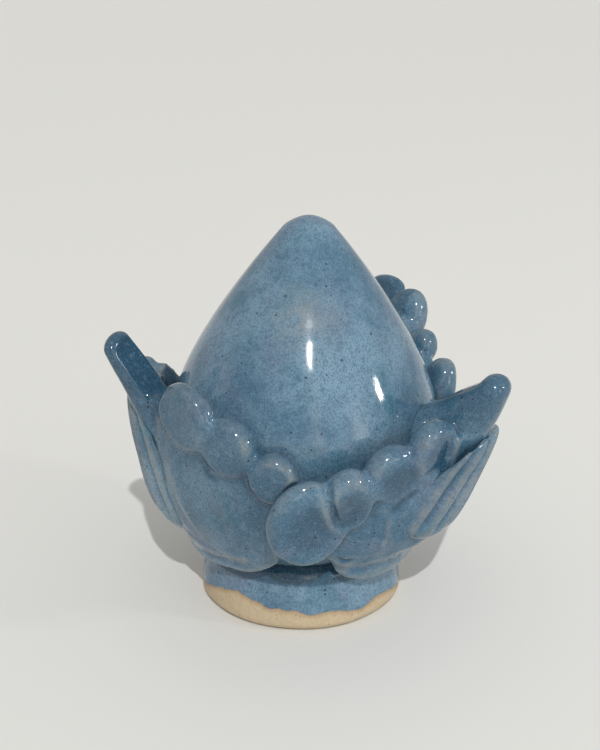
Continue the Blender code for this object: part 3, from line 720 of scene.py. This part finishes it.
def glaze_group(look):
    """Mottled blue glaze: clouds, fine grain, iron specks, pinholes, pools and thin edges, and painted shade
    and sheen carried by the pool and thin masks.
    """
    nodes, given, out = new_group(
        "mottled_glaze",
        [
            ("Place", "NodeSocketVector", None),
            ("Pool", "NodeSocketFloat", 0.0),
            ("Thin", "NodeSocketFloat", 0.0),
            ("Specks", "NodeSocketFloat", 0.5),
            ("Paleness", "NodeSocketFloat", 0.5),
        ],
        [
            ("Colour", "NodeSocketColor"),
            ("Roughness", "NodeSocketFloat"),
            ("Height", "NodeSocketFloat"),
        ],
    )
    place = given["Place"]
    clouds = nodes.noise(place, 34.0, 3.0, 0.6)
    shift = nodes.math("MULTIPLY", nodes.math("SUBTRACT", given["Paleness"], 0.5), 0.6)
    colour = nodes.blend(nodes.ramp(nodes.math("ADD", clouds, shift), 0.32, 0.70), look.body, look.pale)
    lilac = nodes.ramp(nodes.noise(place, 61.0, 2.0), 0.50, 0.72, 0.0, 0.65)
    colour = nodes.blend(lilac, colour, look.lilac)
    teal = nodes.ramp(nodes.noise(nodes.squeeze(place, (1.0, 1.0, 0.6)), 83.0, 2.0), 0.54, 0.74, 0.0, 0.6)
    colour = nodes.blend(teal, colour, look.teal)
    # Pooled glaze darkens towards the deep colour; on the foot this mask also holds painted shade.
    colour = nodes.blend(nodes.ramp(given["Pool"], 0.05, 1.0, 0.0, 0.85), colour, look.deep)

    mottle = nodes.noise(place, 520.0, 4.0, 0.7)
    colour = nodes.blend(nodes.ramp(mottle, 0.52, 0.36, 0.0, 0.30), colour, look.deep)
    colour = nodes.blend(nodes.ramp(mottle, 0.52, 0.68, 0.0, 0.24), colour, look.pale)
    grain = nodes.noise(nodes.squeeze(place, (1.0, 1.0, 0.7)), 2100.0, 3.0, 0.7)
    colour = nodes.blend(nodes.ramp(grain, 0.54, 0.37, 0.0, 0.50), colour, look.deep)
    colour = nodes.blend(nodes.ramp(grain, 0.54, 0.69, 0.0, 0.36), colour, look.pale)

    distance, chance = nodes.cells(place, 620.0)
    seldom = nodes.math("GREATER_THAN", nodes.math("ADD", chance["Red"], given["Specks"]), 1.0)
    size = nodes.ramp(chance["Green"], 0.0, 1.0, 0.12, 0.30)
    speck = nodes.math("MULTIPLY", nodes.ramp(nodes.math("SUBTRACT", distance, size), 0.06, -0.10), seldom)
    colour = nodes.blend(nodes.math("MULTIPLY", speck, 0.85), colour, look.iron)

    distance, chance = nodes.cells(place, 120.0)
    chosen = nodes.math("GREATER_THAN", chance["Red"], 0.86)
    pinhole = nodes.math("MULTIPLY", nodes.ramp(distance, 0.070, 0.045), chosen)
    colour = nodes.blend(pinhole, colour, look.iron)

    # Thin glaze pales towards the edge colour; on the bud this mask also holds a painted sheen.
    breaks = nodes.math("MULTIPLY", nodes.noise(place, 190.0, 4.0, 0.65), 1.3)
    ragged = nodes.math("MULTIPLY", given["Thin"], breaks)
    bare = nodes.ramp(ragged, 0.15, 1.00, 0.0, 0.60)
    colour = nodes.blend(bare, colour, look.edge)

    height = nodes.math("ADD", nodes.noise(place, 260.0, 1.0), nodes.math("MULTIPLY", grain, 0.06))
    height = nodes.math("SUBTRACT", height, nodes.math("MULTIPLY", pinhole, 1.5))
    nodes.join(colour, out["Colour"])
    nodes.join(nodes.ramp(bare, 0.0, 1.0, 0.075, 0.20), out["Roughness"])
    nodes.join(height, out["Height"])
    return nodes.tree


def clay_group(look):
    """Bare speckled stoneware: sandy grain, brown specks and faint streaks from the turning."""
    nodes, given, out = new_group(
        "bare_stoneware",
        [("Place", "NodeSocketVector", None)],
        [("Colour", "NodeSocketColor"), ("Height", "NodeSocketFloat")],
    )
    place = given["Place"]
    sand = nodes.noise(place, 900.0, 4.0, 0.7)
    colour = nodes.blend(nodes.ramp(sand, 0.35, 0.65), look.clay_dark, look.clay)
    streaks = nodes.noise(nodes.squeeze(place, (1.0, 1.0, 0.12)), 420.0, 2.0)
    colour = nodes.blend(nodes.ramp(streaks, 0.52, 0.70, 0.0, 0.45), colour, look.clay_dark)
    distance, chance = nodes.cells(place, 620.0)
    chosen = nodes.math("GREATER_THAN", chance["Red"], 0.70)
    spot = nodes.math("MULTIPLY", nodes.ramp(distance, 0.22, 0.10), chosen)
    colour = nodes.blend(nodes.math("MULTIPLY", spot, 0.7), colour, look.clay_iron)
    nodes.join(colour, out["Colour"])
    nodes.join(sand, out["Height"])
    return nodes.tree


def new_material(name):
    material = bpy.data.materials.new(name)
    material.use_nodes = True
    nodes = Nodes(material.node_tree)
    shader = material.node_tree.nodes["Principled BSDF"]
    place = nodes.add("ShaderNodeTexCoord").outputs["Object"]
    return material, nodes, shader, place


def add_group(nodes, tree, **values):
    return nodes.filled("ShaderNodeGroup", values, node_tree=tree)


def finish_surface(nodes, shader, colour, roughness, height, relief):
    """Joins a finish to its shader, with its height as a bump of the given relief in metres."""
    nodes.join(colour, shader.inputs["Base Color"])
    nodes.join(roughness, shader.inputs["Roughness"])
    bump = nodes.add("ShaderNodeBump")
    bump.inputs["Strength"].default_value = 0.5
    bump.inputs["Distance"].default_value = relief
    nodes.join(height, bump.inputs["Height"])
    nodes.join(bump.outputs["Normal"], shader.inputs["Normal"])


def glaze_material(name, tree, specks, paleness, shift):
    """Glossy glaze for one kind of piece, with its own share of specks and pale clouds."""
    material, nodes, shader, place = new_material(name)
    mapping = nodes.add("ShaderNodeMapping")
    mapping.inputs["Location"].default_value = shift
    nodes.join(place, mapping.inputs["Vector"])
    # On the bud the thin mask also holds a painted sheen.
    glaze = add_group(
        nodes, tree, Place=mapping.outputs["Vector"], Pool=nodes.mask("pool"), Thin=nodes.mask("thin"),
        Specks=specks, Paleness=paleness,
    )
    finish_surface(nodes, shader, glaze["Colour"], glaze["Roughness"], glaze["Height"], 0.00006)
    shader.inputs["IOR"].default_value = 1.52
    return material


def foot_material(look, glaze_tree, clay_tree):
    """The foot: glaze run down to a wavy line, a browned edge and bare clay below it."""
    material, nodes, shader, place = new_material("foot_glaze_and_clay")
    # The foot's pool mask also holds the painted shade under the leaves.
    glaze = add_group(nodes, glaze_tree, Place=place, Pool=nodes.mask("pool"), Specks=0.10, Paleness=0.62)
    clay = add_group(nodes, clay_tree, Place=place)
    drips = nodes.noise(nodes.squeeze(place, (1.0, 1.0, 0.3)), 700.0, 2.0)
    drips = nodes.math("MULTIPLY", nodes.math("SUBTRACT", drips, 0.5), 0.0012)
    above = nodes.math("ADD", nodes.mask("above_line"), drips)
    glazed = nodes.ramp(above, -0.0003, 0.0004)
    browned = nodes.math("MULTIPLY", nodes.ramp(above, -0.0022, -0.0002), 0.55)
    bare = nodes.blend(browned, clay["Colour"], look.clay_edge)
    colour = nodes.blend(glazed, bare, glaze["Colour"])
    dull = nodes.math("MULTIPLY", nodes.math("SUBTRACT", 1.0, glazed), 0.70)
    roughness = nodes.math("ADD", dull, glaze["Roughness"])
    run = nodes.math("MULTIPLY", glazed, 1.4)
    raised = nodes.math("ADD", run, nodes.math("MULTIPLY", glaze["Height"], 0.5))
    height = nodes.math("ADD", raised, nodes.math("MULTIPLY", clay["Height"], 0.25))
    finish_surface(nodes, shader, colour, roughness, height, 0.0003)
    return material


# ---------------------------------------------------------------- settings

def colour_property(name, description, red, green, blue):
    return FloatVectorProperty(
        name=name, description=description, default=(red, green, blue, 1.0),
        size=4, min=0.0, max=1.0, subtype="COLOR",
    )


def length_property(name, description, default, least, most):
    return FloatProperty(
        name=name, description=description, default=default, min=least, max=most, unit="LENGTH",
    )


class ArtichokeShape(bpy.types.PropertyGroup):
    """How finely the clay is worked."""

    grain: length_property("Clay grain", "Spacing of the points on the leaves", 0.0006, 0.0003, 0.003)
    rub_rounds: IntProperty(
        name="Rubbing", description="How often the leaves are rubbed smooth", default=26, min=0, max=60,
    )
    wall_wobble: length_property("Hand wobble", "How uneven the leaves are left", 0.00045, 0.0, 0.002)
    fold_depth: length_property("Fold depth", "Depth of the folds near the hems", 0.00042, 0.0, 0.001)
    flutes: IntProperty(
        name="Flutes", description="Number of ridges on each tongue", default=5, min=3, max=9,
    )
    flute_depth: length_property("Flute depth", "Half the height of a tongue's ridges", 0.0012, 0.0, 0.002)
    turned_sides: IntProperty(
        name="Turned sides", description="Number of points round the bud and foot",
        default=192, min=48, max=360,
    )


class ArtichokeLook(bpy.types.PropertyGroup):
    """Colours of the glaze and the clay."""

    deep: colour_property("Deep glaze", "Glaze pooled in hollows", 0.014, 0.052, 0.095)
    body: colour_property("Body glaze", "Main blue of the glaze", 0.051, 0.126, 0.200)
    pale: colour_property("Pale glaze", "Paler clouds in the glaze", 0.168, 0.275, 0.365)
    lilac: colour_property("Lilac glaze", "Greyer lilac clouds", 0.130, 0.180, 0.268)
    teal: colour_property("Teal glaze", "Greener clouds", 0.045, 0.152, 0.212)
    iron: colour_property("Iron specks", "Dark specks and pinholes", 0.010, 0.016, 0.028)
    edge: colour_property("Thin edges", "Glaze run thin over edges", 0.240, 0.252, 0.232)
    clay: colour_property("Bare clay", "Unglazed stoneware", 0.490, 0.400, 0.272)
    clay_dark: colour_property("Clay grain", "Darker grain of the stoneware", 0.440, 0.345, 0.220)
    clay_iron: colour_property("Clay specks", "Brown specks in the stoneware", 0.200, 0.120, 0.060)
    clay_edge: colour_property("Browned clay", "Clay browned along the glaze", 0.290, 0.180, 0.095)


class ArtichokeStage(bpy.types.PropertyGroup):
    """Floor, light and camera."""

    floor: colour_property("Floor", "Colour of the floor", 0.725, 0.725, 0.704)
    key_strength: FloatProperty(
        name="Key light", description="Strength of the key light", default=1.85, min=0.0, max=20.0,
    )
    sky_strength: FloatProperty(
        name="Fill light", description="Strength of the light from all round",
        default=0.56, min=0.0, max=5.0,
    )
    lens: FloatProperty(
        name="Lens", description="Focal length of the camera, in millimetres",
        default=62.4, min=10.0, max=200.0,
    )
    camera_distance: length_property("Camera distance", "From the foot to the camera", 0.4224, 0.1, 5.0)
    camera_height: length_property("Camera height", "From the floor to the camera", 0.2377, 0.0, 5.0)
    camera_pitch: FloatProperty(
        name="Camera pitch", description="How far down the camera looks",
        default=math.radians(20.42), min=0.0, max=math.pi / 2, subtype="ANGLE", unit="ROTATION",
    )


# ---------------------------------------------------------------- operators

def glaze_tree(look):
    """The shared glaze group, built once."""
    return bpy.data.node_groups.get("mottled_glaze") or glaze_group(look)


def mark_glaze_line(mesh):
    """Writes how far each point of the foot lies above the line that the glaze ran down to."""
    points = points_of(mesh)[0]
    azimuth = np.degrees(np.arctan2(points[:, 1], points[:, 0])) % 360
    line = np.interp(azimuth, *zip(*GLAZE_LINE), period=360)
    ragged = wobble(points, 0.0030, 6) * 0.0004
    write_mask(mesh, "above_line", points[:, 2] - line + ragged)


class ARTICHOKE_OT_foot(bpy.types.Operator):
    """Turns the foot, glazed above a wavy line and bare below it"""

    bl_idname = "artichoke.foot"
    bl_label = "Foot"

    def execute(self, context):
        settings, look = context.scene.artichoke_shape, context.scene.artichoke_look
        profile = [(0.0, 0.0), (FOOT_RADIUS * 0.5, 0.0)]
        edge_rows, side_rows = 8, 24
        for row in range(edge_rows + 1):
            angle = math.pi / 2 * row / edge_rows
            radius = FOOT_RADIUS - FOOT_EDGE_ROUND * (1 - math.sin(angle))
            profile.append((radius, FOOT_EDGE_ROUND * (1 - math.cos(angle))))
        for row in range(1, side_rows + 1):
            share = math.sin(math.pi / 2 * row / side_rows)
            height = FOOT_EDGE_ROUND + (FOOT_HEIGHT - FOOT_EDGE_ROUND) * share
            shoulder = max(0.0, 1 - (FOOT_HEIGHT - height) / FOOT_SHOULDER)
            inset = FOOT_SHOULDER * (1 - math.sqrt(1 - shoulder**2))
            profile.append((float(foot_radius(height)) - inset, height))
        profile += [(BUD_SEAT_RADIUS * 0.9, FOOT_HEIGHT), (0.0, FOOT_HEIGHT)]
        mesh = to_mesh("foot_ring", turned(profile, settings.turned_sides))
        points = points_of(mesh)[0]
        sideways = smooth_step(np.hypot(points[:, 0], points[:, 1]) / FOOT_RADIUS)
        swell = wobble(points, 0.020, 3) * 0.0005 + wobble(points, 0.005, 4) * 0.00008
        points[:, :2] *= (1 + swell * sideways / FOOT_RADIUS)[:, None]
        set_points(mesh, points)
        # Painted shade: the top of the foot under the leaves is darkened through the pool mask, standing in
        # for the shadow the leaves cast there.
        painted_shade_band = smooth_step((points[:, 2] - FOOT_HEIGHT + FOOT_SHOULDER * 1.55) / 0.0014)
        glaze_masks(mesh, 4, 10, pooled=0.9 * painted_shade_band)
        mark_glaze_line(mesh)
        material = foot_material(look, glaze_tree(look), clay_group(look))
        add_piece("foot_ring", mesh, material, "bare_stoneware", "foot")
        return {"FINISHED"}


class ARTICHOKE_OT_bud(bpy.types.Operator):
    """Turns the pointed bud"""

    bl_idname = "artichoke.bud"
    bl_label = "Bud"

    def execute(self, context):
        settings, look = context.scene.artichoke_shape, context.scene.artichoke_look
        rows_below, rows_above = 40, 96
        profile = [(0.0, FOOT_HEIGHT - SEAM)]
        for row in range(rows_below + 1):
            height = FOOT_HEIGHT - SEAM + (BUD_WIDEST_RISE + SEAM) * (row / rows_below) ** 1.3
            profile.append((float(bud_radius(max(height, FOOT_HEIGHT))), height))
        for row in range(1, rows_above + 1):
            share = math.sin(math.pi / 2 * row / rows_above)
            height = BUD_WIDEST_HEIGHT + (BUD_TOP_HEIGHT - BUD_WIDEST_HEIGHT) * share
            profile.append((float(bud_radius(height)), height))
        mesh = to_mesh("bud_body", turned(profile, settings.turned_sides))
        points, normals = points_of(mesh)
        swell = wobble(points, 0.030, 1) * 0.00016 + wobble(points, 0.009, 2) * 0.00002
        rings = 0.000010 * np.sin(points[:, 2] / 0.0042 * math.pi)
        points += normals * (swell + rings)[:, None]
        points[:, 0] += bud_axis(points[:, 2])
        set_points(mesh, points)
        # Painted sheen: a pale patch on the bud's front, facing the lights, is painted in through the
        # thin-glaze mask to stand for a broad reflection.
        painted_sheen_distance = np.linalg.norm(points - polar(-88.0, 0.028, 0.111), axis=1)
        glaze_masks(mesh, 4, 10, thinned=0.90 * np.exp(-((painted_sheen_distance / 0.0135) ** 2)))
        material = glaze_material("bud_glaze", glaze_tree(look), 0.06, 0.55, (0.0, 0.0, 0.0))
        add_piece("bud_body", mesh, material, "blue_glaze", "bud")
        return {"FINISHED"}


class ARTICHOKE_OT_leaves(bpy.types.Operator):
    """Presses the three leaves from pads and balls of clay"""

    bl_idname = "artichoke.leaves"
    bl_label = "Leaves"

    def execute(self, context):
        settings, look = context.scene.artichoke_shape, context.scene.artichoke_look
        material = glaze_material("leaf_glaze", glaze_tree(look), 0.10, 0.42, (0.31, 0.17, 0.05))
        for number, leaf in enumerate(LEAVES):
            shape = bmesh.new()
            add_wall(shape, leaf)
            add_lobes(shape, leaf)
            add_tip(shape, leaf)
            mesh = pressed(f"leaf_{leaf.side}", shape, settings.grain, settings.rub_rounds)
            points, normals = points_of(mesh)
            on_tip = tip_share(points, leaf)
            pooled = np.maximum(leaf.pooled[0], leaf.pooled[1] * dish_lobes(points, normals, leaf))
            pooled += 0.42 * on_tip + 0.80 * dish_tip(points, normals, leaf)
            proud = fold(points, normals, leaf)
            wrinkle(points, normals, leaf, settings.fold_depth)
            points += normals * (wobble(points, 0.011, 10 + number) * settings.wall_wobble)[:, None]
            if leaf.side == OVERLAPPED_SIDE:
                tuck_under(points)
            clear_of_turned(points)
            set_points(mesh, points)
            grooved, ridged = np.maximum(-proud, 0), np.maximum(proud, 0)
            low = smooth_step((FOOT_HEIGHT + HEM_THIN_BAND - points[:, 2]) / HEM_THIN_BAND)
            thinned = 0.34 * ridged + 0.62 * low
            glaze_masks(mesh, 6, 30, (pooled + 0.6 * grooved) * (1 - 0.7 * low), thinned, 0.8 * on_tip)
            add_piece(f"leaf_{leaf.side}_clay", mesh, material, "blue_glaze", f"leaf_{leaf.side}")
        return {"FINISHED"}


class ARTICHOKE_OT_tongues(bpy.types.Operator):
    """Lays a fluted tongue on the outside of each leaf"""

    bl_idname = "artichoke.tongues"
    bl_label = "Tongues"

    def execute(self, context):
        settings, look = context.scene.artichoke_shape, context.scene.artichoke_look
        material = glaze_material("tongue_glaze", glaze_tree(look), 0.08, 0.45, (0.12, 0.41, 0.22))
        for number, leaf in enumerate(LEAVES):
            shape, crests = press_tongue(leaf, settings.flutes, settings.flute_depth)
            mesh = to_mesh(f"tongue_{leaf.side}", shape)
            points, normals = points_of(mesh)
            points += normals * (wobble(points, 0.008, 20 + number) * 0.0002)[:, None]
            set_points(mesh, points)
            glaze_masks(mesh, 8, 16, thinned=crests)
            add_piece(f"tongue_{leaf.side}_clay", mesh, material, "blue_glaze", f"tongue_{leaf.side}")
        return {"FINISHED"}


class ARTICHOKE_OT_stage(bpy.types.Operator):
    """Lays the pale floor and sets the lights and the camera"""

    bl_idname = "artichoke.stage"
    bl_label = "Stage"

    def execute(self, context):
        scene, settings = context.scene, context.scene.artichoke_stage
        scene.view_settings.view_transform = "Standard"
        self.lay_floor(scene, settings)
        self.hang_lights(scene, settings)
        self.stand_camera(scene, settings)
        return {"FINISHED"}

    def lay_floor(self, scene, settings):
        shape = bmesh.new()
        bmesh.ops.create_grid(shape, x_segments=1, y_segments=1, size=6.0)
        mesh = to_mesh("floor", shape)
        floor = bpy.data.objects.new("floor", mesh)
        floor.location.z = -0.0002
        scene.collection.objects.link(floor)
        material, nodes, shader, place = new_material("pale_floor")
        shader.inputs["Base Color"].default_value = settings.floor
        shader.inputs["Roughness"].default_value = 0.6
        mesh.materials.append(material)

    def hang_lights(self, scene, settings):
        scene.world = self.soft_room(settings)
        key = bpy.data.lights.new("key", "SUN")
        key.energy = settings.key_strength
        key.angle = math.radians(1.0)
        self.aim(scene, key, azimuth=-85.0, elevation=44.0, distance=2.0)
        window = bpy.data.lights.new("window", "AREA")
        window.shape = "RECTANGLE"
        window.size, window.size_y = 0.08, 0.13
        window.energy = 2.2
        self.aim(scene, window, azimuth=-16.0, elevation=19.5, distance=1.2)

    def soft_room(self, settings):
        """Even light from all round, with two soft tall bands of brighter light in front."""
        world = bpy.data.worlds.new("soft_room")
        world.use_nodes = True
        nodes = Nodes(world.node_tree)
        direction = nodes.add("ShaderNodeTexCoord").outputs["Generated"]
        parts = nodes.filled("ShaderNodeSeparateXYZ", {"Vector": direction})
        azimuth = nodes.math("ARCTAN2", parts["Y"], parts["X"])
        light = settings.sky_strength
        for centre, half_width, top, strength in ((-81.0, 12.0, 0.70, 1.6), (-43.0, 12.0, 0.50, 2.4)):
            away = nodes.math("SUBTRACT", azimuth, math.radians(centre))
            across = nodes.ramp(nodes.math("ABSOLUTE", away), math.radians(half_width), 0.0, 0.0, strength)
            up = nodes.ramp(parts["Z"], top, top * 0.3)
            light = nodes.math("ADD", nodes.math("MULTIPLY", across, up), light)
        background = world.node_tree.nodes["Background"]
        background.inputs["Color"].default_value = (1.0, 0.985, 0.95, 1.0)
        nodes.feed(background.inputs["Strength"], light)
        return world

    def aim(self, scene, light, azimuth, elevation, distance):
        middle = Vector((0.0, 0.0, BUD_WIDEST_HEIGHT))
        flat = distance * math.cos(math.radians(elevation))
        offset = Vector(polar(azimuth, flat, distance * math.sin(math.radians(elevation))))
        lamp = bpy.data.objects.new(light.name, light)
        lamp.location = middle + offset
        lamp.rotation_euler = offset.to_track_quat("Z", "Y").to_euler()
        scene.collection.objects.link(lamp)

    def stand_camera(self, scene, settings):
        camera = bpy.data.cameras.new("camera")
        camera.lens = settings.lens
        camera.sensor_width = 36.0
        camera.clip_start = 0.01
        stand = bpy.data.objects.new("camera", camera)
        stand.location = (-0.0004, -settings.camera_distance, settings.camera_height)
        stand.rotation_euler = (math.pi / 2 - settings.camera_pitch, 0.0, 0.0)
        scene.collection.objects.link(stand)
        scene.camera = stand


class ARTICHOKE_PT_panel(bpy.types.Panel):
    """Sizes and colours of the artichoke, and the steps that make it"""

    bl_label = "Glazed Artichoke"
    bl_idname = "ARTICHOKE_PT_panel"
    bl_space_type = "VIEW_3D"
    bl_region_type = "UI"
    bl_category = "Artichoke"

    def draw(self, context):
        for group in GROUPS:
            box = self.layout.box()
            for name in group.__annotations__:
                box.prop(getattr(context.scene, GROUPS[group]), name)
        for operator in OPERATORS:
            self.layout.operator(operator.bl_idname)


GROUPS = {
    ArtichokeShape: "artichoke_shape",
    ArtichokeLook: "artichoke_look",
    ArtichokeStage: "artichoke_stage",
}
OPERATORS = (
    ARTICHOKE_OT_foot,
    ARTICHOKE_OT_bud,
    ARTICHOKE_OT_leaves,
    ARTICHOKE_OT_tongues,
    ARTICHOKE_OT_stage,
)


def register():
    for item in (*GROUPS, *OPERATORS, ARTICHOKE_PT_panel):
        bpy.utils.register_class(item)
    for group, name in GROUPS.items():
        setattr(bpy.types.Scene, name, PointerProperty(type=group))


def unregister():
    for name in GROUPS.values():
        delattr(bpy.types.Scene, name)
    for item in reversed((*GROUPS, *OPERATORS, ARTICHOKE_PT_panel)):
        bpy.utils.unregister_class(item)


def main():
    register()
    bpy.ops.artichoke.foot()
    bpy.ops.artichoke.bud()
    bpy.ops.artichoke.leaves()
    bpy.ops.artichoke.tongues()
    bpy.ops.artichoke.stage()


if __name__ == "__main__":
    main()
